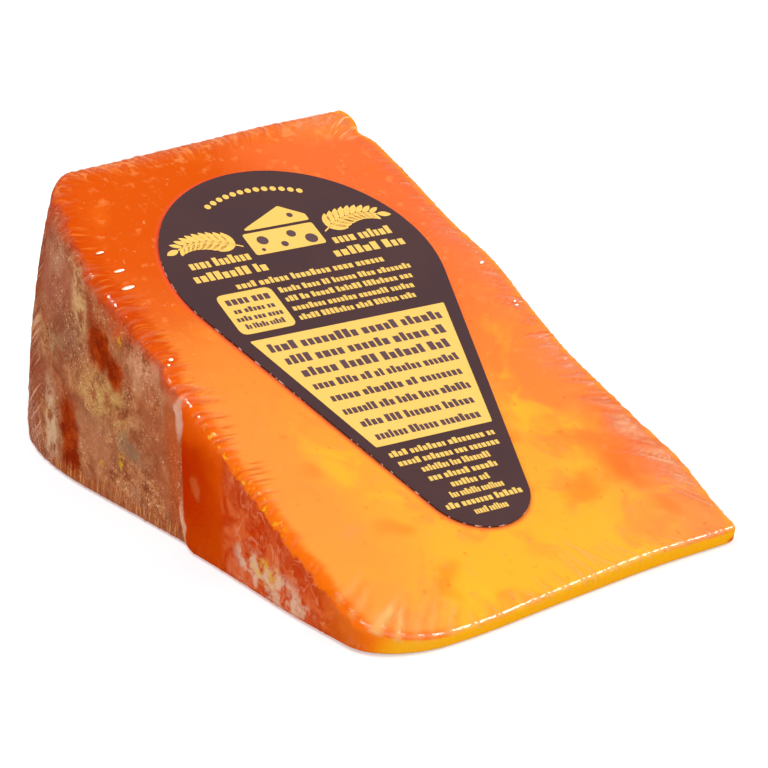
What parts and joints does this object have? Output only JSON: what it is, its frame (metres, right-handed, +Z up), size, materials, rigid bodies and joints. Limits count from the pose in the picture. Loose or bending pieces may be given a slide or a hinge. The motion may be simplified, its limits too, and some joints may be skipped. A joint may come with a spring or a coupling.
{
  "type": "red leicester cheese wedge",
  "caption": "Wedge of hard orange cheese in skin-tight clear film, with mottled cloth rind on one side and a teardrop label on its sloping cut face.",
  "frame": {"origin": "middle of the footprint's box, on the surface that the wedge lies on", "axes": "+Z up; +Y from the thin nose towards the wheel's curved rind; X along the wheel's axis, with the mottled flat rind face at -X"},
  "size_m": [0.0774, 0.1206, 0.0507],
  "materials": {
    "wrapped_cheese": "orange cheese under clear glossy film",
    "label": "satin printed label stock, dark aubergine with golden yellow print"
  },
  "bodies": {
    "root": {"cheese_wedge": "wrapped_cheese", "label": "label"}
  },
  "joints": []
}
